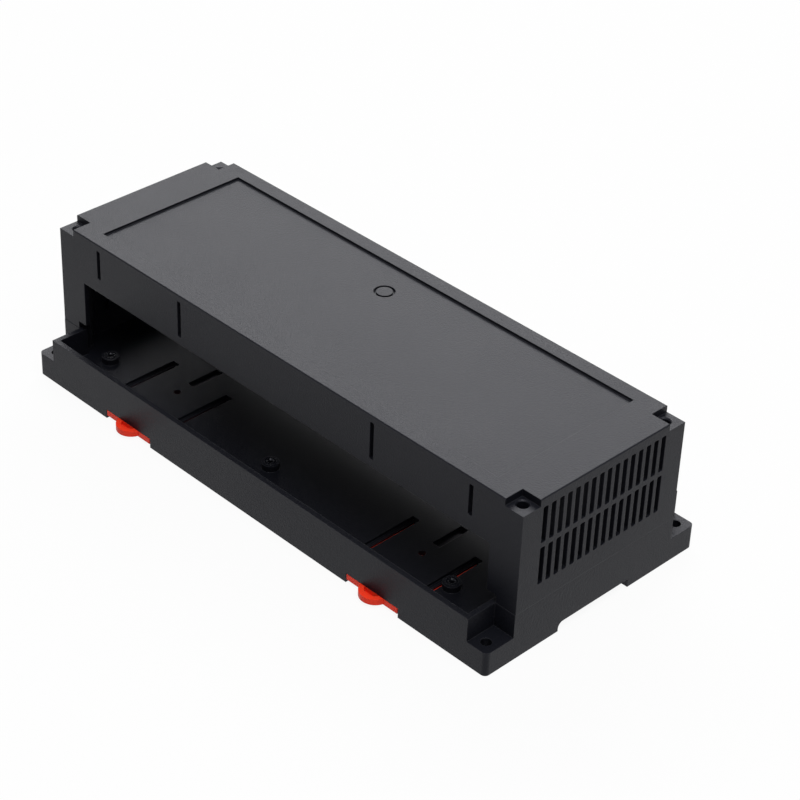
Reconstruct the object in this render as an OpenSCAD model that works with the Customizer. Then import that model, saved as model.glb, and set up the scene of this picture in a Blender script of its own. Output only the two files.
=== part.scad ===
// DIN rail enclosure.
// A moulded case for a circuit board: a slotted cover screwed down on a base tray,
// with two sliding clips that lock the case on a 35 mm top-hat rail.
// Millimetres, +Z up. The origin is the middle of the footprint, on the underside
// plane. The rail runs along X and the pull tabs of the clips point to -Y.

/* [Case] */
// Overall length, along the rail
case_length = 250; // [236:1:320]
// Overall width, across the rail
case_width = 110; // [106:1:140]
// Overall height
case_height = 65; // [58:1:90]
// Wall thickness of the base and the cover
wall = 2.2; // [1.8:0.1:2.5]
// Height of the base tray, up to the parting line
base_height = 20; // [18:0.5:24]
// Radius of the upright corners of the base
base_corner_radius = 2; // [1:0.1:3]
// Height of the inside of the floor above the underside plane
floor_top = 8; // [7.6:0.1:9]

/* [Mounting corners] */
// Corner pocket, size along X
pocket_length = 9.5; // [9:0.1:10.5]
// Corner pocket, size along Y
pocket_width = 13.4; // [12:0.1:14]
// Height of the top of the mounting lug
lug_top = 10; // [9.4:0.1:12]
// Panel screw hole, distance from the end and from the side of the base
panel_hole_inset = 5; // [4.8:0.1:5.4]
// Panel screw hole, diameter
panel_hole_diameter = 4.2; // [3.2:0.1:4.6]
// Outside diameter of the tube under the lug
lug_tube_diameter = 8.4; // [8:0.1:9]

/* [Cover] */
// Open gutter beside the cover, from the side of the base
gutter_width = 13.5; // [12:0.1:14]
// Small chamfer round the top edge
top_chamfer = 0.4; // [0.2:0.1:1]
// Raised margin between the ends of the cover and the sunk label field
field_margin_x = 18.5; // [15:0.5:40]
// Raised margin between the sides of the cover and the sunk label field
field_margin_y = 6.85; // [6:0.05:15]
// Depth of the sunk label field
field_depth = 1; // [0.6:0.1:2.2]
// Offset of the label field towards the rear
field_shift = 0.15; // [0:0.05:0.5]
// Corner notch over each cover screw, size along both edges
notch_size = 8.5; // [8:0.1:9]
// Depth of the corner notch below the top
notch_depth = 2.9; // [2:0.1:4]
// Gate mark in the label field, position along X
gate_mark_x = -5.2; // [-60:0.1:60]
// Gate mark in the label field, position along Y
gate_mark_y = 19.9; // [-25:0.1:25]
// Gate mark, outside diameter of its groove
gate_mark_diameter = 8.4; // [5:0.1:12]
// Gate mark, width and depth of its groove
gate_mark_groove = 1; // [0.5:0.1:1.2]

/* [Cover windows] */
// Width of the pillar left at each end of the long sides
pillar_width = 14; // [12:0.5:18]
// Height of the closed band between the long window and the top face
band_height = 21.8; // [20:0.1:26]
// Width of the foot of each pillar
foot_width = 9.4; // [9.4:0.1:11]
// Height of the foot of each pillar
foot_height = 3.3; // [2:0.1:5]

/* [Band slots] */
// Width of the upright slots in the band above each window
band_slot_width = 2; // [1.5:0.1:3]
// Distance of the inner pair from the middle
band_inner_x = 52.5; // [30:0.5:80]
// Length of the inner pair
band_inner_length = 15.7; // [8:0.1:16]
// Distance of the outer pair from the middle
band_outer_x = 101; // [85:0.5:103]
// Length of the outer pair
band_outer_length = 12.8; // [8:0.1:16]
// Distance from the top face down to the upper ends of the slots
band_slot_drop = 2.8; // [2.8:0.1:5]

/* [End vents] */
// Plain wall beside the vents, in front of the screw posts
vent_margin = 9.4; // [9.4:0.1:20]
// Distance from slot to slot
vent_pitch = 4.04; // [3.6:0.01:4.1]
// Width of a slot
vent_width = 2.35; // [1.5:0.05:2.8]
// Length of the slots in the upper row
vent_upper_length = 15.3; // [8:0.1:16]
// Length of the slots in the lower row
vent_lower_length = 15.9; // [8:0.1:16]
// Web between the two rows
vent_row_gap = 2; // [1.5:0.1:4]
// Distance from the top face down to the upper row
vent_drop = 3.8; // [3:0.1:6]
// Corner radius of all the slots
slot_radius = 0.6; // [0.3:0.1:0.7]

/* [Cover screws] */
// Screw post, distance from the end of the cover
post_end_inset = 5.2; // [4.8:0.1:5.4]
// Screw post, distance from the side of the cover
post_side_inset = 5.2; // [4.8:0.1:5.4]
// Screw post, outside diameter
post_diameter = 8.4; // [7.8:0.1:8.4]
// Diameter of the deep bore for the screw head
head_bore_diameter = 4.3; // [4.2:0.1:5]
// Width of the chamfer round the mouth of this bore
head_bore_chamfer = 0.5; // [0.2:0.1:0.8]
// Thickness of the post below the screw head
post_seat = 4; // [3:0.5:8]
// Diameter of the screw head
screw_head_diameter = 3.9; // [3.6:0.1:4]
// Height of the screw head
screw_head_height = 1.5; // [1.2:0.1:2.5]
// Diameter of the screw shank
screw_diameter = 2.2; // [2:0.1:2.5]
// Length of the screw below its head
screw_length = 12; // [10:0.5:13]
// Outside diameter of the screw boss in the base
screw_boss_diameter = 7; // [6:0.1:8]

/* [Board bosses] */
// Distance between the board bosses along X
board_boss_pitch = 96.4; // [60:0.1:100]
// Distance of the middle pair from the middle of the case, along X
board_boss_shift = -6.8; // [-10:0.1:10]
// Distance of each row of board bosses from the side of the base
board_row_inset = 19; // [18:0.5:22]
// Outside diameter of a board boss
board_boss_diameter = 7; // [5.5:0.1:9]
// Diameter of the raised collar on a board boss
board_collar_diameter = 4.6; // [3.6:0.1:5]
// Height of the board bosses above the floor
board_boss_height = 3; // [2:0.1:6]
// Diameter of the pilot hole in a board boss
board_pilot_diameter = 2; // [1.6:0.1:2.4]
// Width of the chamfer round the pilot hole
board_pilot_chamfer = 0.5; // [0.2:0.1:0.5]

/* [Rail channel] */
// Width of the channel for the rail
channel_width = 37; // [36:0.1:38]
// Depth of the channel, up to the seat ribs
channel_depth = 3.6; // [3.2:0.1:3.8]
// Offset of the channel towards the rear
channel_shift = 0.3; // [0:0.1:1]
// Radius of the front upper corner of the channel mouth
channel_corner_radius = 2.4; // [1:0.1:3]
// Thickness of the ribs on the underside
rib_thickness = 2; // [1.4:0.1:2.4]
// Distance of the middle stiffening ribs from the middle of the case
rib_inner_x = 26; // [15:0.5:30]
// Distance of the outer stiffening ribs from the middle of the case
rib_outer_x = 103; // [95:0.5:105]

/* [Rail clips] */
// Distance of each clip from the middle of the case
clip_x = 68.7; // [60:0.1:72]
// Width of the front bar of a clip
clip_bar_width = 26; // [22:0.5:28]
// Width of the sliding plate of a clip
clip_plate_width = 36; // [35:0.5:38]
// Underside of the front bar above the underside plane
clip_bar_bottom = 1.5; // [1:0.1:2]
// Top of the front bar above the underside plane
clip_bar_top = 3.95; // [3.6:0.05:4]
// Sliding travel that frees the rail
clip_travel = 5; // [4.5:0.1:6]
// Clearance round the clip in its guides
clip_clearance = 0.2; // [0.1:0.05:0.3]
// Outside radius of the pull tab
tab_radius = 6.1; // [5.8:0.1:6.6]
// Inside radius of the loop of the pull tab
tab_hole_radius = 4; // [3:0.1:4.2]
// Distance that the pull tab stands out in front of the base
tab_reach = 4.4; // [4:0.1:5.5]
// Thickness of the jaw that reaches under the rail
jaw_thickness = 2.1; // [1.5:0.1:2.2]
// Distance that the jaw and the fixed hooks reach under the rail
jaw_reach = 4; // [3:0.1:4.4]
// Width of the three grooves in the floor over each clip
groove_width = 3.8; // [3.4:0.1:4.2]
// Depth of these grooves
groove_depth = 1.3; // [0.6:0.1:1.5]
// Length of the outer grooves, over the guides
guide_groove_length = 25; // [20:0.5:26]
// Distance that the outer grooves run over the rail channel
guide_groove_overrun = 1.2; // [0:0.1:3]
// Ledge left round the opening in each outer groove
guide_groove_ledge = 0.9; // [0.3:0.1:0.9]
// Length of the middle groove, which is blind
middle_groove_length = 15; // [10:0.5:18]
// Distance that the middle groove runs over the rail channel
middle_groove_overrun = 10.2; // [6:0.1:12]
// Small round opening over the plate, distance from the rail channel
floor_hole_inset = 11.8; // [9:0.1:14]
// Diameter of the small round opening
floor_hole_diameter = 3; // [2:0.1:4]

/* [Hidden] */
$fn = 48;
eps = 0.01;
cut = 1;
thread_play = 0.05;
front_y = -case_width / 2;
cover_width = case_width - 2 * gutter_width;
field_length = case_length - 2 * field_margin_x;
field_width = cover_width - 2 * field_margin_y;
window_top = case_height - band_height;
vent_count = 1 + floor((cover_width - 2 * vent_margin - vent_width) / vent_pitch);
board_row_y = case_width / 2 - board_row_inset;
floor_bottom = floor_top - wall;
panel_x = case_length / 2 - panel_hole_inset;
panel_y = case_width / 2 - panel_hole_inset;
post_x = case_length / 2 - post_end_inset;
post_y = cover_width / 2 - post_side_inset;
post_seat_z = base_height + post_seat;
channel_front = channel_shift - channel_width / 2;
channel_rear = channel_shift + channel_width / 2;
guide_x = clip_plate_width / 2 + clip_clearance;
guide_groove_x = clip_plate_width / 2 - groove_width / 2;
clip_plate_bottom = channel_depth + clip_clearance;
clip_plate_top = floor_bottom - clip_clearance;
clip_step_front = front_y + wall + clip_travel + clip_clearance;
jaw_bottom = 0.4;
screw_recess_width = 0.6;
screw_recess_depth = 0.9;

// ---- shared shapes ----

// Block centred on X and Y, standing on z
module block(length, width, z, height) {
    translate([-length / 2, -width / 2, z])
        cube([length, width, height]);
}

// Rectangle with round corners, centred
module rounded_rectangle(length, width, radius) {
    square([length - 2 * radius, width], center = true);
    square([length, width - 2 * radius], center = true);
    for (x = [-1, 1], y = [-1, 1])
        translate([x * (length / 2 - radius), y * (width / 2 - radius)])
            circle(r = radius);
}

// Copies of a child in the four quarters of the case, mirrored
module four_corners() {
    for (x = [0, 1], y = [0, 1])
        mirror([x, 0, 0])
            mirror([0, y, 0])
                children();
}

// Copies of a child at both clips
module both_clips() {
    for (x = [-clip_x, clip_x])
        translate([x, 0, 0])
            children();
}

// ---- base ----

// Plan area of the mounting pocket in the corner at +X +Y, grown by a margin
module pocket(margin, z, height) {
    translate([case_length / 2 - pocket_length - margin,
               case_width / 2 - pocket_width - margin, z])
        cube([pocket_length + margin + cut, pocket_width + margin + cut, height]);
}

// Tray with its floor, open above and hollow below
module base_shell() {
    inner_length = case_length - 2 * wall;
    inner_width = case_width - 2 * wall;
    difference() {
        linear_extrude(base_height)
            rounded_rectangle(case_length, case_width, base_corner_radius);
        difference() {
            block(inner_length, inner_width, floor_top, base_height);
            four_corners()
                pocket(wall, floor_top - cut, base_height + 2 * cut);
        }
        four_corners()
            pocket(0, lug_top, base_height);
        block(inner_length, inner_width, -cut, floor_bottom + cut);
        four_corners()
            translate([case_length / 2 - pocket_length, case_width / 2 - pocket_width, -cut])
                cube([pocket_length - wall, pocket_width - wall, lug_top - wall + cut]);
    }
}

// Tubes, bosses and ribs that stand on the floor and hang below it
module base_features() {
    four_corners() {
        translate([panel_x, panel_y, 0])
            cylinder(d = lug_tube_diameter, h = lug_top - wall / 2);
        translate([post_x, post_y, floor_bottom])
            cylinder(d = screw_boss_diameter, h = base_height - floor_bottom);
    }
    for (i = [-1, 0, 1], y = [-1, 1])
        translate([board_boss_shift + i * board_boss_pitch, y * board_row_y, floor_top - eps])
            board_boss();
    inner_length = case_length - wall;
    inner_width = case_width - wall;
    for (y = [channel_front - rib_thickness, channel_rear])
        translate([-inner_length / 2, y, 0])
            cube([inner_length, rib_thickness, floor_bottom + eps]);
    for (x = [-rib_outer_x, -rib_inner_x, rib_inner_x, rib_outer_x])
        translate([x, 0, 0])
            block(rib_thickness, inner_width, 0, floor_bottom + eps);
    both_clips()
        for (side = [-1, 1])
            translate([side * (guide_x + rib_thickness / 2), 0, 0])
                block(rib_thickness, inner_width, 0, floor_bottom + eps);
}

// Stepped boss for a board screw, standing on z = 0
module board_boss() {
    collar_height = 0.4;
    cylinder(d = board_boss_diameter, h = board_boss_height - collar_height);
    cylinder(d = board_collar_diameter, h = board_boss_height);
}

// Pilot hole in a board boss, blind below and chamfered at its mouth
module board_pilot() {
    mouth = floor_top + board_boss_height;
    translate([0, 0, floor_bottom + wall / 3])
        cylinder(d = board_pilot_diameter, h = mouth);
    translate([0, 0, mouth - board_pilot_chamfer])
        cylinder(d1 = board_pilot_diameter, d2 = board_pilot_diameter + 2 * board_pilot_chamfer,
                 h = board_pilot_chamfer + eps);
}

// Groove in the floor along Y that runs over the rail channel, drawn in by a ledge
module groove(x, length, overrun, depth, ledge) {
    translate([x, channel_front + overrun - length / 2, floor_top - depth])
        linear_extrude(depth + cut)
            rounded_rectangle(groove_width - 2 * ledge, length - 2 * ledge, slot_radius);
}

// Mouth of the rail channel, with its front upper corner rounded
module channel_profile() {
    difference() {
        translate([channel_front, -cut])
            square([channel_width, channel_depth + cut]);
        translate([channel_front, channel_depth - channel_corner_radius])
            difference() {
                square(channel_corner_radius);
                translate([channel_corner_radius, 0])
                    circle(r = channel_corner_radius);
            }
    }
}

// Space for one clip, with the grooves and openings in the floor above it
module clip_cuts() {
    translate([-clip_bar_width / 2 - 2 * clip_clearance, front_y - cut, -cut])
        cube([clip_bar_width + 4 * clip_clearance, wall + 2 * cut, clip_bar_top + clip_clearance + cut]);
    translate([-guide_x, channel_front - rib_thickness - cut, -cut])
        cube([2 * guide_x, rib_thickness + 2 * cut, floor_bottom + cut]);
    for (x = [-guide_groove_x, guide_groove_x]) {
        groove(x, guide_groove_length, guide_groove_overrun, groove_depth, 0);
        groove(x, guide_groove_length, guide_groove_overrun, wall + cut, guide_groove_ledge);
    }
    groove(0, middle_groove_length, middle_groove_overrun, groove_depth, 0);
    translate([0, channel_front - floor_hole_inset, floor_bottom - cut])
        cylinder(d = floor_hole_diameter, h = wall + 2 * cut);
}

// Lips under the sliding plate and the fixed hook at the rear of the channel
module clip_supports() {
    lip_front = channel_front + guide_groove_overrun - guide_groove_length;
    for (side = [0, 1])
        mirror([side, 0, 0])
            translate([clip_plate_width / 2 - groove_width, lip_front, channel_depth - rib_thickness])
                cube([groove_width + clip_clearance + eps, channel_front - lip_front, rib_thickness]);
    translate([-clip_bar_width / 2, channel_rear - jaw_reach / 2, jaw_bottom])
        cube([clip_bar_width, jaw_reach / 2 + eps, jaw_thickness]);
}

module base() {
    color("#17181a") {
        difference() {
            union() {
                base_shell();
                base_features();
            }
            rotate([90, 0, 90])
                linear_extrude(case_length + 2 * cut, center = true)
                    channel_profile();
            both_clips()
                clip_cuts();
            four_corners() {
                translate([panel_x, panel_y, -cut])
                    cylinder(d = panel_hole_diameter, h = lug_top + 2 * cut);
                translate([post_x, post_y, post_seat_z - screw_length - cut])
                    cylinder(d = screw_diameter + 2 * thread_play, h = screw_length + cut);
            }
            for (i = [-1, 0, 1], y = [-1, 1])
                translate([board_boss_shift + i * board_boss_pitch, y * board_row_y, 0])
                    board_pilot();
        }
        both_clips()
            clip_supports();
    }
}

// ---- cover ----

// Solid outline of the cover with its top edge chamfered
module cover_block() {
    module edge_profile(length) {
        polygon([
            [-length / 2, base_height],
            [length / 2, base_height],
            [length / 2, case_height - top_chamfer],
            [length / 2 - top_chamfer, case_height],
            [-length / 2 + top_chamfer, case_height],
            [-length / 2, case_height - top_chamfer]
        ]);
    }
    intersection() {
        rotate([90, 0, 0])
            linear_extrude(cover_width + cut, center = true)
                edge_profile(case_length);
        rotate([90, 0, 90])
            linear_extrude(case_length + cut, center = true)
                edge_profile(cover_width);
    }
}

// Plan area of a corner notch at +X +Y, grown by a margin
module notch(margin, z) {
    translate([case_length / 2 - notch_size - margin, cover_width / 2 - notch_size - margin, z])
        cube([notch_size + margin + cut, notch_size + margin + cut, case_height]);
}

// Inside of the cover, following the sunk field and the notches at wall thickness
module cover_cavity() {
    difference() {
        block(case_length - 2 * wall, cover_width - 2 * wall, base_height - cut,
              case_height - base_height - wall + cut);
        translate([0, field_shift, 0])
            block(field_length + 2 * wall, field_width + 2 * wall,
                  case_height - wall - field_depth, case_height);
        four_corners()
            notch(wall, case_height - notch_depth - wall);
    }
}

// Upright slot through a wall that faces +Y, centred on x = 0, y = 0
module wall_slot(width, bottom, length) {
    translate([0, 0, bottom + length / 2])
        rotate([90, 0, 0])
            linear_extrude(2 * wall + 2 * cut, center = true)
                rounded_rectangle(width, length, slot_radius);
}

// Both long windows with the wider foot at their lower corners
module window_cuts() {
    block(case_length - 2 * pillar_width, cover_width + 2 * cut, base_height - cut,
          window_top - base_height + cut);
    block(case_length - 2 * foot_width, cover_width + 2 * cut, base_height - cut, foot_height + cut);
}

// Slots in the band above one long window, in the wall at +Y
module band_slots() {
    top = case_height - band_slot_drop;
    for (side = [-1, 1]) {
        translate([side * band_inner_x, cover_width / 2, 0])
            wall_slot(band_slot_width, top - band_inner_length, band_inner_length);
        translate([side * band_outer_x, cover_width / 2, 0])
            wall_slot(band_slot_width, top - band_outer_length, band_outer_length);
    }
}

// Two rows of vents in the end wall at +X
module end_vents() {
    upper = case_height - vent_drop - vent_upper_length;
    lower = upper - vent_row_gap - vent_lower_length;
    for (i = [0 : vent_count - 1])
        translate([case_length / 2, (i - (vent_count - 1) / 2) * vent_pitch, 0])
            rotate([0, 0, -90]) {
                wall_slot(vent_width, upper, vent_upper_length);
                wall_slot(vent_width, lower, vent_lower_length);
            }
}

// Locating tongue inside the end wall at +X, reaching down into the base
module tongue(y) {
    tongue_width = 12;
    tongue_thickness = 1.6;
    tongue_depth = 2.4;
    inner_x = case_length / 2 - wall;
    translate([inner_x - tongue_thickness, y - tongue_width / 2, base_height - tongue_depth])
        cube([tongue_thickness - thread_play * 2, tongue_width, 2 * tongue_depth]);
    translate([inner_x - tongue_thickness, y - tongue_width / 2, base_height])
        cube([tongue_thickness + eps, tongue_width, tongue_depth]);
}

module cover() {
    color("#1b1c1e")
        difference() {
            union() {
                difference() {
                    cover_block();
                    cover_cavity();
                }
                four_corners() {
                    translate([post_x, post_y, base_height])
                        cylinder(d = post_diameter, h = case_height - base_height - notch_depth - wall / 2);
                    tongue(vent_count * vent_pitch / 4);
                }
            }
            window_cuts();
            for (side = [0, 1]) {
                mirror([0, side, 0])
                    band_slots();
                mirror([side, 0, 0])
                    end_vents();
            }
            translate([0, field_shift, 0])
                block(field_length, field_width, case_height - field_depth, field_depth + cut);
            translate([gate_mark_x, gate_mark_y, case_height - field_depth - gate_mark_groove])
                difference() {
                    cylinder(d = gate_mark_diameter, h = gate_mark_groove + cut);
                    translate([0, 0, -eps])
                        cylinder(d = gate_mark_diameter - 2 * gate_mark_groove, h = gate_mark_groove + eps);
                }
            four_corners() {
                notch(0, case_height - notch_depth);
                translate([post_x, post_y, post_seat_z])
                    cylinder(d = head_bore_diameter, h = case_height);
                translate([post_x, post_y, case_height - notch_depth - head_bore_chamfer])
                    cylinder(d1 = head_bore_diameter, d2 = head_bore_diameter + 2 * head_bore_chamfer,
                             h = head_bore_chamfer + eps);
                translate([post_x, post_y, base_height - cut])
                    cylinder(d = screw_diameter + 0.4, h = post_seat + 2 * cut);
            }
        }
}

// ---- cover screws ----

// Pan-head screw standing in the post at the given corner
module cover_screw(x, y) {
    tip = 1.5;
    translate([x * post_x, y * post_y, post_seat_z]) {
        difference() {
            cylinder(d = screw_head_diameter, h = screw_head_height);
            translate([0, 0, screw_head_height - screw_recess_depth])
                for (angle = [0, 90])
                    rotate([0, 0, angle])
                        block(screw_head_diameter * 0.6, screw_recess_width, 0, screw_head_height);
        }
        translate([0, 0, tip - screw_length])
            cylinder(d = screw_diameter, h = screw_length - tip + eps);
        translate([0, 0, -screw_length])
            cylinder(d1 = screw_diameter / 3, d2 = screw_diameter, h = tip);
    }
}

module cover_screw_1() {
    color("silver")
        cover_screw(-1, -1);
}

module cover_screw_2() {
    color("silver")
        cover_screw(1, -1);
}

module cover_screw_3() {
    color("silver")
        cover_screw(1, 1);
}

module cover_screw_4() {
    color("silver")
        cover_screw(-1, 1);
}

// ---- rail clips ----

// Front bar in plan, with the pull tab as a round loop in front of it
module tab_plan() {
    bar_rear = clip_step_front + rib_thickness;
    translate([-clip_bar_width / 2, front_y])
        square([clip_bar_width, bar_rear - front_y]);
    translate([0, front_y - tab_reach + tab_radius])
        difference() {
            circle(r = tab_radius);
            circle(r = tab_hole_radius);
        }
}

// One rail clip: pull tab, sliding plate and the jaw that closes under the rail
module rail_clip() {
    plate_rear = channel_front + jaw_reach + rib_thickness;
    jaw_front = channel_front + jaw_reach - clip_travel - clip_clearance;
    translate([0, 0, clip_bar_bottom])
        linear_extrude(clip_bar_top - clip_bar_bottom)
            tab_plan();
    translate([-clip_bar_width / 2, clip_step_front, clip_bar_bottom])
        cube([clip_bar_width, rib_thickness, clip_plate_top - clip_bar_bottom]);
    translate([-clip_plate_width / 2, clip_step_front, clip_plate_bottom])
        cube([clip_plate_width, plate_rear - clip_step_front, clip_plate_top - clip_plate_bottom]);
    translate([-clip_bar_width / 2, jaw_front, jaw_bottom])
        cube([clip_bar_width, channel_front + jaw_reach - jaw_front, jaw_thickness]);
    translate([-clip_bar_width / 2, jaw_front, jaw_bottom])
        cube([clip_bar_width, rib_thickness, clip_plate_top - jaw_bottom]);
}

module clip_left() {
    color("#e8402a")
        translate([-clip_x, 0, 0])
            rail_clip();
}

module clip_right() {
    color("#e8402a")
        translate([clip_x, 0, 0])
            rail_clip();
}

// ---- output ----

base();
cover();
clip_left();
clip_right();
cover_screw_1();
cover_screw_2();
cover_screw_3();
cover_screw_4();
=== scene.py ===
"""DIN rail enclosure: finishes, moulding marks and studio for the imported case."""

import math

import bmesh
import bpy
from mathutils import Matrix, Vector


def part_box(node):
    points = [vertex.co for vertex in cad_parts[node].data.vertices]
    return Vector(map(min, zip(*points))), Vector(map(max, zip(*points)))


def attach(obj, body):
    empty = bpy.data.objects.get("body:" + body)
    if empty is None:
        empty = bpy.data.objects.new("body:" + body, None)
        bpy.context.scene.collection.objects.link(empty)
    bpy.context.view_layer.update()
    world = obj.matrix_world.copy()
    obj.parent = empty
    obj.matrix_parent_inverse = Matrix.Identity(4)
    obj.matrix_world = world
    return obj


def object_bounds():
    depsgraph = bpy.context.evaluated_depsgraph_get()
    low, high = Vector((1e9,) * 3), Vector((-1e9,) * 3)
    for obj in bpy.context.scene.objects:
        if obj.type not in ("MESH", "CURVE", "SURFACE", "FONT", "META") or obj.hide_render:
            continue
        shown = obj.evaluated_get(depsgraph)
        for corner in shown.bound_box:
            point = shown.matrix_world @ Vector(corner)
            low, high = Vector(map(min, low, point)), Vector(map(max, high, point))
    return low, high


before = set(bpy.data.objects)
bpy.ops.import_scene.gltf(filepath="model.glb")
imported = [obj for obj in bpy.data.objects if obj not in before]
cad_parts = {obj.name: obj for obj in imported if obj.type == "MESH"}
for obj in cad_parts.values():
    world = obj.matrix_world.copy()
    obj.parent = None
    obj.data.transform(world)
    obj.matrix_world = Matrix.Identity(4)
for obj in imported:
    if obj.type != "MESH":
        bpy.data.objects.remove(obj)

bl_info = {
    "name": "DIN Rail Enclosure",
    "version": (1, 0, 0),
    "blender": (4, 5, 0),
    "location": "3D View > Sidebar > Enclosure",
    "description": "Finishes a moulded rail-mount case and sets it on a plain stage",
    "category": "Object",
}

CAD_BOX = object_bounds()
MM = 0.001

CLIP_BODIES = {"clip_left": "left_clip", "clip_right": "right_clip"}
SCREW_NODES = ("cover_screw_1", "cover_screw_2", "cover_screw_3", "cover_screw_4")

# How far the hollow of each moulding lies inside its box, from the low and from the high corner, in mm.
# It is negative on the open side, where the hollow runs on past the box.
HOLLOWS = {
    "base": ((11.7, 2.15, 5.85), (11.7, 2.15, -1.0)),
    "cover": ((8.5, 2.25, -1.0), (8.5, 2.25, 2.25)),
}
# The board bosses have their tips between these heights, and stand this far inside the hollow's sides.
BOSS_BOTTOM, BOSS_TOP, BOSS_INSET = 10.6 * MM, 11.5 * MM, 10 * MM

# Strength of the mould texture outside, and inside where the core is polished.
OUTER_PITS, INNER_PITS = 0.9, 0.3
# Spacing of each fine texture, divided by its depth.
PIT_RATIO, PEEL_RATIO, PATCH_RATIO = 4, 20, 30
# How far the roughness of the black plastic swings from patch to patch.
ROUGHNESS_SWING = 0.01
BEVEL_SAMPLES = 6

# Clearance between a web and what stands round it.
FIT = 0.02 * MM
WEB_STEPS, LIP_END_STEPS = 24, 6

# The floor lies this far under the case, so that no two faces share a plane.
FLOOR_GAP = 0.1 * MM
FLOOR_CELLS = 8
# Where each lamp hangs, seen from the middle of the case, and how far away, in metres.
KEY_DIRECTION, KEY_DISTANCE = (-0.578, 0.563, 0.62), 1.9
TOP_DIRECTION, TOP_DISTANCE = (0.3, -0.15, 0.94), 1.6
# Height of the key lamp over its width.
KEY_ASPECT = 0.5

# Camera in metres, and the directions that are right, down and ahead for it.
CAMERA_PLACE = (0.52812, -0.51269, 0.5311)
CAMERA_RIGHT = (0.69674, 0.71651, 0.03398)
CAMERA_DOWN = (0.42508, -0.37425, -0.82416)
CAMERA_AHEAD = (-0.5778, 0.58868, -0.56533)
SENSOR_WIDTH = 36.0


# ---- colour and nodes ----


def linear(hex_colour):
    """Turns an sRGB hex value such as 'e23a1c' into linear red, green and blue."""
    channels = [int(hex_colour[i:i + 2], 16) / 255 for i in (0, 2, 4)]
    return tuple(c / 12.92 if c <= 0.04045 else ((c + 0.055) / 1.055) ** 2.4 for c in channels)


def add_node(tree, kind, inputs=None, **settings):
    """Adds a node, sets it, and joins or sets its inputs by name or number."""
    node = tree.nodes.new(kind)
    for name, value in settings.items():
        setattr(node, name, value)
    for socket, value in (inputs or {}).items():
        if isinstance(value, bpy.types.NodeSocket):
            tree.links.new(value, node.inputs[socket])
        else:
            node.inputs[socket].default_value = value
    return node


def shade(colour, share=1.0):
    """Scales a colour and adds full opacity."""
    return (*(share * channel for channel in colour), 1.0)


def mix_colours(tree, factor, first, second):
    """Mixes two colours; the node's sockets for colours are 6 and 7, and its output for them is 2."""
    return add_node(tree, "ShaderNodeMix", {
        "Factor": factor, 6: first, 7: second,
    }, data_type="RGBA").outputs[2]


def mix_values(tree, factor, first, second):
    """Mixes two values; the node's sockets for values are 2 and 3, and its output for them is 0."""
    return add_node(tree, "ShaderNodeMix", {"Factor": factor, 2: first, 3: second}).outputs[0]


def rounded_edges(tree, radius):
    """Normal of the surface with its edges rounded."""
    return add_node(tree, "ShaderNodeBevel", {"Radius": radius}, samples=BEVEL_SAMPLES).outputs["Normal"]


def new_material(name):
    """Returns an empty node material and its tree."""
    material = bpy.data.materials.new(name)
    material.use_nodes = True
    material.node_tree.nodes.clear()
    return material, material.node_tree


def dress(nodes, material):
    """Gives CAD nodes their material."""
    for name in nodes:
        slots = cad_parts[name].data.materials
        slots.clear()
        slots.append(material)


# ---- materials ----


def inside(tree, place, low, high):
    """One where the place lies in the box between two corners, zero elsewhere."""
    centre, half = (low + high) / 2, (high - low) / 2
    offset = add_node(tree, "ShaderNodeVectorMath", {0: place, 1: centre}, operation="SUBTRACT")
    share = add_node(tree, "ShaderNodeVectorMath", {
        0: offset.outputs["Vector"], 1: half,
    }, operation="DIVIDE")
    size = add_node(tree, "ShaderNodeVectorMath", {0: share.outputs["Vector"]}, operation="ABSOLUTE")
    axes = add_node(tree, "ShaderNodeSeparateXYZ", {0: size.outputs["Vector"]}).outputs
    plan = add_node(tree, "ShaderNodeMath", {0: axes["X"], 1: axes["Y"]}, operation="MAXIMUM")
    most = add_node(tree, "ShaderNodeMath", {0: plan.outputs["Value"], 1: axes["Z"]}, operation="MAXIMUM")
    return add_node(tree, "ShaderNodeMath", {
        0: most.outputs["Value"], 1: 1.0,
    }, operation="LESS_THAN").outputs["Value"]


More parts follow.
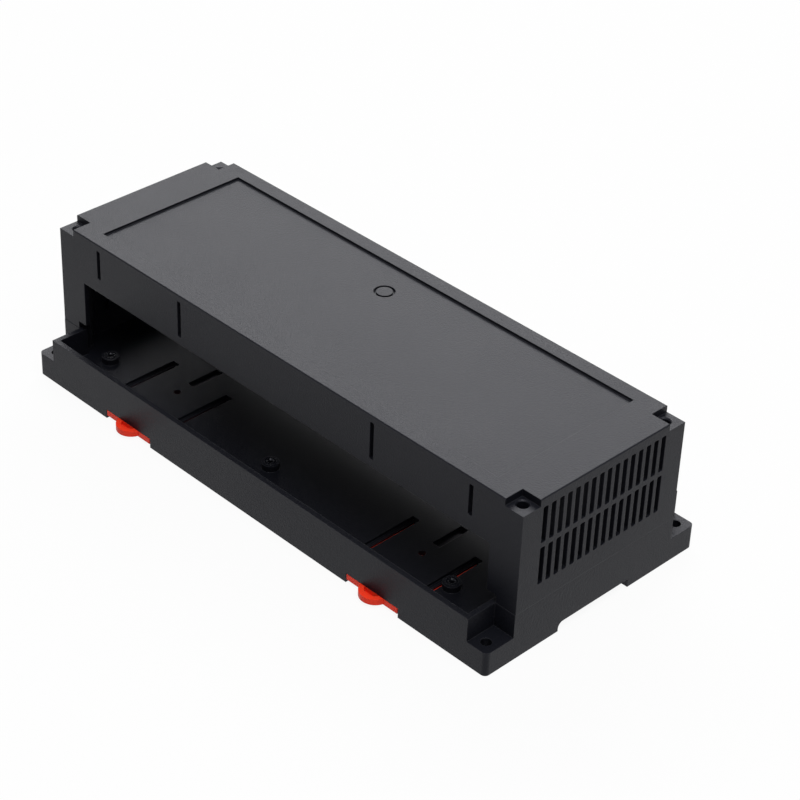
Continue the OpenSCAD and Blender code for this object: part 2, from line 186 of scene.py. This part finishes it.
def moulded_abs(case, node, low, high, bosses):
    """Black ABS from a spark-eroded mould: dull and finely pitted, with a lighter grey painted along the
    edges as a highlight.

    The core of the mould is polished, so the plastic is smoother in the hollow between the low
    and the high corner. The bosses are the two corners of the zone that holds their tips.
    """
    material, tree = new_material("black_abs_" + node)
    place = add_node(tree, "ShaderNodeTexCoord").outputs["Object"]
    # Pits of the mould texture; the real ones are about 0.1 mm, drawn coarser so that they show.
    pits = add_node(tree, "ShaderNodeTexNoise", {
        "Vector": place, "Scale": 1 / case.grain, "Detail": 3.0, "Roughness": 0.6,
    }).outputs["Fac"]
    # Flow of the melt leaves patches some centimetres wide that are a touch glossier.
    flow = add_node(tree, "ShaderNodeTexNoise", {
        "Vector": place, "Scale": 1 / case.flow, "Detail": 2.0, "Distortion": 0.6,
    }).outputs["Fac"]
    rounded = rounded_edges(tree, case.edge_radius)
    flat = add_node(tree, "ShaderNodeNewGeometry").outputs["True Normal"]
    bend = add_node(tree, "ShaderNodeVectorMath", {
        0: rounded, 1: flat,
    }, operation="DOT_PRODUCT").outputs["Value"]
    # Painted highlight: where the bevel bends the normal along the rounded edges, the colour turns towards
    # a lighter grey, in patches of the flow noise.
    edge = add_node(tree, "ShaderNodeMapRange", {
        "Value": bend, "From Min": 0.98, "From Max": 0.75, "To Min": 0.0, "To Max": 1.0,
    }).outputs["Result"]
    edge_highlight = add_node(tree, "ShaderNodeMath", {0: edge, 1: flow}, operation="MULTIPLY").outputs["Value"]
    tint = mix_colours(tree, flow, shade(case.colour, 0.92), shade(case.colour, 1.08))
    edge_highlighted = mix_colours(tree, edge_highlight, tint, shade(case.edge_highlight_colour))
    dull = add_node(tree, "ShaderNodeMapRange", {
        "Value": flow, "From Min": 0.3, "From Max": 0.7,
        "To Min": case.roughness - ROUGHNESS_SWING, "To Max": case.roughness + ROUGHNESS_SWING,
    }).outputs["Result"]
    core = inside(tree, place, low, high)
    smooth = mix_values(tree, core, dull, case.inside_roughness)
    # Pins in the core shape the bosses and are buffed bright, so the rims of the pilot holes glint.
    rough = mix_values(tree, inside(tree, place, *bosses), smooth, case.boss_roughness)
    strength = add_node(tree, "ShaderNodeMapRange", {
        "Value": core, "To Min": OUTER_PITS, "To Max": INNER_PITS,
    }).outputs["Result"]
    bump = add_node(tree, "ShaderNodeBump", {
        "Height": pits, "Normal": rounded, "Strength": strength, "Distance": case.grain / PIT_RATIO,
    }).outputs["Normal"]
    # Carbon black gives the sheen a slight lean to blue, which the specular tint holds.
    shader = add_node(tree, "ShaderNodeBsdfPrincipled", {
        "Base Color": edge_highlighted, "Roughness": rough, "Normal": bump,
        "IOR": 1.5, "Specular IOR Level": 0.15, "Specular Tint": (0.9, 0.9, 1.0, 1.0),
    })
    add_node(tree, "ShaderNodeOutputMaterial", {"Surface": shader.outputs["BSDF"]})
    return material


def moulded_nylon(clip):
    """Orange-red nylon, moulded in a polished tool: satin, with a soft glow at thin edges."""
    material, tree = new_material("orange_red_nylon_moulded")
    place = add_node(tree, "ShaderNodeTexCoord").outputs["Object"]
    flow = add_node(tree, "ShaderNodeTexNoise", {
        "Vector": place, "Scale": 1 / clip.flow, "Detail": 2.0,
    }).outputs["Fac"]
    # Faint orange peel from the tool, about half a millimetre from crest to crest.
    peel = add_node(tree, "ShaderNodeTexNoise", {
        "Vector": place, "Scale": 1 / clip.peel, "Detail": 1.0,
    }).outputs["Fac"]
    tint = mix_colours(tree, flow, shade(clip.colour, 0.93), shade(clip.colour))
    bump = add_node(tree, "ShaderNodeBump", {
        "Height": peel, "Normal": rounded_edges(tree, clip.edge_radius),
        "Strength": 0.3, "Distance": clip.peel / PEEL_RATIO,
    }).outputs["Normal"]
    shader = add_node(tree, "ShaderNodeBsdfPrincipled", {
        "Base Color": tint, "Roughness": 0.42, "Normal": bump,
        "IOR": 1.53, "Specular IOR Level": 0.15,
        "Subsurface Weight": 0.12, "Subsurface Scale": 0.001, "Subsurface Radius": (1.0, 0.3, 0.1),
    })
    add_node(tree, "ShaderNodeOutputMaterial", {"Surface": shader.outputs["BSDF"]})
    return material


def zinc_steel(screw):
    """Zinc-plated steel, cold-headed and barrel-plated: bright, with small dull patches."""
    material, tree = new_material("zinc_plated_steel")
    place = add_node(tree, "ShaderNodeTexCoord").outputs["Object"]
    # Plating crystals bunch into patches about a millimetre across.
    patches = add_node(tree, "ShaderNodeTexNoise", {
        "Vector": place, "Scale": 1 / screw.patch, "Detail": 3.0,
    }).outputs["Fac"]
    tint = mix_colours(tree, patches, shade(screw.colour, 0.85), shade(screw.colour))
    rough = add_node(tree, "ShaderNodeMapRange", {
        "Value": patches, "From Min": 0.3, "From Max": 0.7, "To Min": 0.22, "To Max": 0.4,
    }).outputs["Result"]
    bump = add_node(tree, "ShaderNodeBump", {
        "Height": patches, "Strength": 0.2, "Distance": screw.patch / PATCH_RATIO,
    }).outputs["Normal"]
    shader = add_node(tree, "ShaderNodeBsdfPrincipled", {
        "Base Color": tint, "Metallic": 1.0, "Roughness": rough, "Normal": bump,
    })
    add_node(tree, "ShaderNodeOutputMaterial", {"Surface": shader.outputs["BSDF"]})
    return material


def seen_directly(tree):
    """One for rays from the camera, from a gloss or through glass; zero for the rays that light things."""
    path = add_node(tree, "ShaderNodeLightPath").outputs
    seen = add_node(tree, "ShaderNodeMath", {
        0: path["Is Camera Ray"], 1: path["Is Glossy Ray"],
    }, operation="MAXIMUM").outputs["Value"]
    return add_node(tree, "ShaderNodeMath", {
        0: seen, 1: path["Is Transmission Ray"],
    }, operation="MAXIMUM").outputs["Value"]


def white_sweep(stage):
    """Matt paper, lifted towards white where it is seen directly, and still with the shadow on it."""
    material, tree = new_material("white_paper_sweep")
    paper = add_node(tree, "ShaderNodeBsdfDiffuse", {"Color": shade(stage.floor_colour)})
    glow = add_node(tree, "ShaderNodeEmission", {"Color": (1.0, 1.0, 1.0, 1.0), "Strength": 1.0})
    lift = add_node(tree, "ShaderNodeMath", {
        0: seen_directly(tree), 1: stage.floor_lift,
    }, operation="MULTIPLY")
    mixed = add_node(tree, "ShaderNodeMixShader", {
        0: lift.outputs["Value"], 1: paper.outputs["BSDF"], 2: glow.outputs["Emission"],
    })
    add_node(tree, "ShaderNodeOutputMaterial", {"Surface": mixed.outputs["Shader"]})
    return material


# ---- thin mouldings ----


def arc(centre, radius, start, end, steps):
    """Points along an arc in plan, from one angle to another."""
    turn = (end - start) / steps
    angles = [start + turn * i for i in range(steps + 1)]
    return [(centre.x + radius * math.cos(angle), centre.y + radius * math.sin(angle)) for angle in angles]


def strip(left, right, front, rear):
    """Outline in plan of a narrow strip along Y with round ends."""
    radius = (right - left) / 2
    middle = (left + right) / 2
    return (arc(Vector((middle, front + radius)), radius, math.pi, 2 * math.pi, LIP_END_STEPS)
            + arc(Vector((middle, rear - radius)), radius, 0, math.pi, LIP_END_STEPS))


def add_plates(name, outlines, bottom, top, carrier, body):
    """Adds flat plates as one piece that rides on a body, in the plastic of the node it belongs to."""
    mesh = bpy.data.meshes.new(name)
    shape = bmesh.new()
    for outline in outlines:
        lower, upper = ([shape.verts.new((x, y, z)) for x, y in outline] for z in (bottom, top))
        shape.faces.new(lower[::-1])
        shape.faces.new(upper)
        for i in range(len(outline)):
            shape.faces.new((lower[i - 1], lower[i], upper[i], upper[i - 1]))
    shape.to_mesh(mesh)
    shape.free()
    mesh.materials.append(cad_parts[carrier].data.materials[0])
    piece = bpy.data.objects.new(name, mesh)
    bpy.context.scene.collection.objects.link(piece)
    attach(piece, body)


# ---- settings ----


class EnclosureCaseSettings(bpy.types.PropertyGroup):
    """Finish of the base and the cover"""

    colour: bpy.props.FloatVectorProperty(
        name="Plastic", description="Colour of the black ABS", subtype="COLOR",
        default=linear("0e0f14"), min=0.0, max=1.0)
    # Lighter grey painted along the edges as a highlight.
    edge_highlight_colour: bpy.props.FloatVectorProperty(
        name="Edge highlight", description="Colour of the highlight painted along edges", subtype="COLOR",
        default=linear("4a4b4f"), min=0.0, max=1.0)
    grain: bpy.props.FloatProperty(
        name="Grain", description="Spacing of the pits in the mould texture", unit="LENGTH",
        default=0.6 * MM, min=0.1 * MM, max=2 * MM, precision=5)
    flow: bpy.props.FloatProperty(
        name="Flow patches", description="Width of the patches left by the melt", unit="LENGTH",
        default=28 * MM, min=5 * MM, max=100 * MM)
    edge_radius: bpy.props.FloatProperty(
        name="Edge radius", description="Small radius that the mould leaves on each edge", unit="LENGTH",
        default=0.25 * MM, min=0.05 * MM, max=1 * MM, precision=5)
    roughness: bpy.props.FloatProperty(
        name="Roughness", description="Roughness of the mould texture", default=0.4, min=0.2, max=0.9)
    inside_roughness: bpy.props.FloatProperty(
        name="Inside roughness", description="Roughness that the polished core leaves inside",
        default=0.36, min=0.1, max=0.9)
    boss_roughness: bpy.props.FloatProperty(
        name="Boss roughness", description="Roughness of the tips of the board bosses",
        default=0.14, min=0.05, max=0.9)


class EnclosureClipSettings(bpy.types.PropertyGroup):
    """Finish of the two rail clips"""

    colour: bpy.props.FloatVectorProperty(
        name="Nylon", description="Colour of the clips", subtype="COLOR",
        default=linear("e8381f"), min=0.0, max=1.0)
    flow: bpy.props.FloatProperty(
        name="Flow patches", description="Width of the patches left by the melt", unit="LENGTH",
        default=6 * MM, min=1 * MM, max=50 * MM)
    peel: bpy.props.FloatProperty(
        name="Orange peel", description="Spacing of the faint waves in the surface", unit="LENGTH",
        default=0.5 * MM, min=0.1 * MM, max=2 * MM, precision=5)
    edge_radius: bpy.props.FloatProperty(
        name="Edge radius", description="Small radius that the mould leaves on each edge", unit="LENGTH",
        default=0.2 * MM, min=0.05 * MM, max=1 * MM, precision=5)


class EnclosureScrewSettings(bpy.types.PropertyGroup):
    """Finish of the four cover screws"""

    colour: bpy.props.FloatVectorProperty(
        name="Zinc", description="Colour of the plating", subtype="COLOR",
        default=linear("d3d4d6"), min=0.0, max=1.0)
    patch: bpy.props.FloatProperty(
        name="Patches", description="Width of the dull patches in the plating", unit="LENGTH",
        default=0.8 * MM, min=0.2 * MM, max=5 * MM, precision=5)


class EnclosureWebSettings(bpy.types.PropertyGroup):
    """Thin webs in the loops of the clips, and lips in the floor grooves over them"""

    loop_radius: bpy.props.FloatProperty(
        name="Loop", description="Outer radius of the loop on a clip", unit="LENGTH",
        default=6.1 * MM, min=4 * MM, max=8 * MM, precision=5)
    hole_radius: bpy.props.FloatProperty(
        name="Hole", description="Radius of the hole that the web closes from below", unit="LENGTH",
        default=4 * MM, min=2 * MM, max=6 * MM, precision=5)
    web_bottom: bpy.props.FloatProperty(
        name="Web height", description="Height of the underside of the web", unit="LENGTH",
        default=1.5 * MM, min=0.5 * MM, max=3 * MM, precision=5)
    web_thickness: bpy.props.FloatProperty(
        name="Web thickness", description="Thickness of the web in a loop", unit="LENGTH",
        default=0.6 * MM, min=0.4 * MM, max=1.5 * MM, precision=5)
    groove_length: bpy.props.FloatProperty(
        name="Groove", description="Length of an opening in the floor over a clip", unit="LENGTH",
        default=23.2 * MM, min=10 * MM, max=26 * MM)
    groove_width: bpy.props.FloatProperty(
        name="Groove width", description="Width of a groove over a clip", unit="LENGTH",
        default=3.8 * MM, min=2 * MM, max=5 * MM, precision=5)
    groove_rear: bpy.props.FloatProperty(
        name="Groove end", description="Distance from the rear of a clip to the end of the opening",
        unit="LENGTH", default=5.7 * MM, min=2 * MM, max=12 * MM, precision=5)
    groove_ledge: bpy.props.FloatProperty(
        name="Ledge", description="Ledge round the opening in a groove", unit="LENGTH",
        default=0.9 * MM, min=0.2 * MM, max=1.5 * MM, precision=5)
    lip_width: bpy.props.FloatProperty(
        name="Lip", description="Width of the lip that narrows the opening", unit="LENGTH",
        default=0.75 * MM, min=0.2 * MM, max=1 * MM, precision=5)
    lip_bottom: bpy.props.FloatProperty(
        name="Lip height", description="Height of the underside of the lip", unit="LENGTH",
        default=5.85 * MM, min=5 * MM, max=7 * MM, precision=5)
    lip_thickness: bpy.props.FloatProperty(
        name="Lip thickness", description="Thickness of the lip", unit="LENGTH",
        default=0.8 * MM, min=0.4 * MM, max=1.5 * MM, precision=5)


class EnclosureStageSettings(bpy.types.PropertyGroup):
    """Floor, lamps and camera"""

    floor_colour: bpy.props.FloatVectorProperty(
        name="Floor", description="Colour of the paper sweep", subtype="COLOR",
        default=linear("cccccc"), min=0.0, max=1.0)
    floor_lift: bpy.props.FloatProperty(
        name="Floor lift", description="How far the camera sees the floor lifted to white",
        subtype="FACTOR", default=0.93, min=0.0, max=1.0)
    floor_size: bpy.props.FloatProperty(
        name="Floor size", description="Width of the paper sweep", unit="LENGTH", default=8.0, min=1.0)
    key_power: bpy.props.FloatProperty(
        name="Key lamp", description="Power of the soft lamp behind the case, in watts",
        default=30.0, min=0.0)
    key_size: bpy.props.FloatProperty(
        name="Key size", description="Width of the soft lamp behind the case", unit="LENGTH",
        default=1.7, min=0.2)
    top_power: bpy.props.FloatProperty(
        name="Top lamp", description="Power of the soft lamp overhead, in watts", default=30.0, min=0.0)
    top_size: bpy.props.FloatProperty(
        name="Top size", description="Width of the soft lamp overhead", unit="LENGTH",
        default=1.2, min=0.2)
    sky: bpy.props.FloatProperty(
        name="Room light", description="Strength of the even light of the room", default=0.12, min=0.0)
    lens: bpy.props.FloatProperty(
        name="Lens", description="Focal length of the camera in millimetres", default=105.53, min=10.0)


# ---- operators ----


class EnclosureCaseFinish(bpy.types.Operator):
    """Give the base and the cover their moulded black plastic"""

    bl_idname = "enclosure.case_finish"
    bl_label = "Case finish"

    def execute(self, context):
        case = context.scene.enclosure_case
        for node, (low_inset, high_inset) in HOLLOWS.items():
            low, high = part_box(node)
            low, high = low + Vector(low_inset) * MM, high - Vector(high_inset) * MM
            bosses = (Vector((low.x, low.y + BOSS_INSET, BOSS_BOTTOM)),
                      Vector((high.x, high.y - BOSS_INSET, BOSS_TOP)))
            dress((node,), moulded_abs(case, node, low, high, bosses))
        return {"FINISHED"}


class EnclosureClipFinish(bpy.types.Operator):
    """Give both rail clips their orange-red nylon"""

    bl_idname = "enclosure.clip_finish"
    bl_label = "Clip finish"

    def execute(self, context):
        dress(CLIP_BODIES, moulded_nylon(context.scene.enclosure_clip))
        return {"FINISHED"}


class EnclosureWebs(bpy.types.Operator):
    """Add the thin webs in the clip loops and the lips in the grooves over the clips"""

    bl_idname = "enclosure.webs"
    bl_label = "Webs and lips"

    def execute(self, context):
        webs = context.scene.enclosure_webs
        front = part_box("base")[0].y - FIT
        lips = []
        for node, body in CLIP_BODIES.items():
            low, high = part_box(node)
            middle, half_width = (low.x + high.x) / 2, (high.x - low.x) / 2
            centre = Vector((middle, low.y + webs.loop_radius))
            radius = webs.hole_radius - FIT
            back = math.asin((front - centre.y) / radius)
            web = arc(centre, radius, math.pi - back, 2 * math.pi + back, WEB_STEPS)
            add_plates(node + "_web", [web], webs.web_bottom, webs.web_bottom + webs.web_thickness,
                       node, body)
            rear = high.y - webs.groove_rear
            for side in (-1, 1):
                groove = middle + side * (half_width - webs.groove_width / 2)
                edge = groove - webs.groove_width / 2 + webs.groove_ledge
                lips.append(strip(edge, edge + webs.lip_width, rear - webs.groove_length, rear))
        add_plates("groove_lips", lips, webs.lip_bottom, webs.lip_bottom + webs.lip_thickness,
                   "base", "case")
        return {"FINISHED"}


class EnclosureScrewFinish(bpy.types.Operator):
    """Give the cover screws their zinc plating"""

    bl_idname = "enclosure.screw_finish"
    bl_label = "Screw finish"

    def execute(self, context):
        dress(SCREW_NODES, zinc_steel(context.scene.enclosure_screw))
        return {"FINISHED"}


def add_soft_lamp(name, power, width, height, direction, distance, target):
    """Adds a rectangular lamp that faces the target from a direction."""
    lamp = bpy.data.lights.new(name, "AREA")
    lamp.shape = "RECTANGLE"
    lamp.size, lamp.size_y, lamp.energy = width, height, power
    holder = bpy.data.objects.new(name, lamp)
    towards = Vector(direction).normalized()
    holder.location = target + towards * distance
    holder.rotation_euler = towards.to_track_quat("Z", "Y").to_euler()
    bpy.context.scene.collection.objects.link(holder)


class EnclosureStage(bpy.types.Operator):
    """Lay the floor, hang the lamps and set the camera"""

    bl_idname = "enclosure.stage"
    bl_label = "Stage"

    def execute(self, context):
        stage = context.scene.enclosure_stage
        low, high = CAD_BOX
        centre = (low + high) / 2
        mesh = bpy.data.meshes.new("paper_sweep")
        shape = bmesh.new()
        bmesh.ops.create_grid(
            shape, x_segments=FLOOR_CELLS, y_segments=FLOOR_CELLS, size=stage.floor_size / 2)
        bmesh.ops.translate(shape, verts=shape.verts, vec=(0.0, 0.0, low.z - FLOOR_GAP))
        shape.to_mesh(mesh)
        shape.free()
        floor = bpy.data.objects.new("paper_sweep", mesh)
        floor.data.materials.append(white_sweep(stage))
        context.scene.collection.objects.link(floor)
        self.light(context.scene, stage, centre)
        self.aim(context.scene, stage)
        return {"FINISHED"}

    def light(self, scene, stage, centre):
        """Soft key from behind on the left, a wide lamp overhead, even room light."""
        add_soft_lamp("key_softbox", stage.key_power, stage.key_size, stage.key_size * KEY_ASPECT,
                      KEY_DIRECTION, KEY_DISTANCE, centre)
        add_soft_lamp("top_softbox", stage.top_power, stage.top_size, stage.top_size,
                      TOP_DIRECTION, TOP_DISTANCE, centre)
        world = bpy.data.worlds.new("room_light")
        world.use_nodes = True
        tree = world.node_tree
        tree.nodes.clear()
        strength = add_node(tree, "ShaderNodeMapRange", {
            "Value": seen_directly(tree), "To Min": stage.sky, "To Max": 1.0,
        }).outputs["Result"]
        sky = add_node(tree, "ShaderNodeBackground", {
            "Color": (1.0, 1.0, 1.0, 1.0), "Strength": strength,
        })
        add_node(tree, "ShaderNodeOutputWorld", {"Surface": sky.outputs["Background"]})
        scene.world = world

    def aim(self, scene, stage):
        """Long lens from the front right, about a third of the way from level to overhead."""
        data = bpy.data.cameras.new("camera")
        data.sensor_width = SENSOR_WIDTH
        data.lens = stage.lens
        data.clip_start, data.clip_end = 0.05, 20.0
        camera = bpy.data.objects.new("camera", data)
        axes = Matrix((Vector(CAMERA_RIGHT), -Vector(CAMERA_DOWN), -Vector(CAMERA_AHEAD)))
        camera.matrix_world = Matrix.Translation(CAMERA_PLACE) @ axes.transposed().to_4x4()
        scene.collection.objects.link(camera)
        scene.camera = camera
        scene.view_settings.view_transform = "Standard"


# ---- panel and registration ----


class EnclosurePanel(bpy.types.Panel):
    """Lists the steps and their settings"""

    bl_idname = "ENCLOSURE_PT_main"
    bl_label = "DIN rail enclosure"
    bl_space_type = "VIEW_3D"
    bl_region_type = "UI"
    bl_category = "Enclosure"

    def draw(self, context):
        scene = context.scene
        for operator, group in STEPS:
            box = self.layout.box()
            box.operator(operator.bl_idname)
            settings = getattr(scene, group)
            for name in type(settings).__annotations__:
                box.prop(settings, name)


SETTINGS = {
    "enclosure_case": EnclosureCaseSettings,
    "enclosure_clip": EnclosureClipSettings,
    "enclosure_screw": EnclosureScrewSettings,
    "enclosure_webs": EnclosureWebSettings,
    "enclosure_stage": EnclosureStageSettings,
}
STEPS = (
    (EnclosureCaseFinish, "enclosure_case"),
    (EnclosureClipFinish, "enclosure_clip"),
    (EnclosureScrewFinish, "enclosure_screw"),
    (EnclosureWebs, "enclosure_webs"),
    (EnclosureStage, "enclosure_stage"),
)


def register():
    for name, group in SETTINGS.items():
        bpy.utils.register_class(group)
        setattr(bpy.types.Scene, name, bpy.props.PointerProperty(type=group))
    for operator, _ in STEPS:
        bpy.utils.register_class(operator)
    bpy.utils.register_class(EnclosurePanel)


def unregister():
    bpy.utils.unregister_class(EnclosurePanel)
    for operator, _ in reversed(STEPS):
        bpy.utils.unregister_class(operator)
    for name, group in reversed(SETTINGS.items()):
        delattr(bpy.types.Scene, name)
        bpy.utils.unregister_class(group)


def main():
    """Builds the whole scene."""
    register()
    for operator, _ in STEPS:
        package, name = operator.bl_idname.split(".")
        getattr(getattr(bpy.ops, package), name)()


if __name__ == "__main__":
    main()
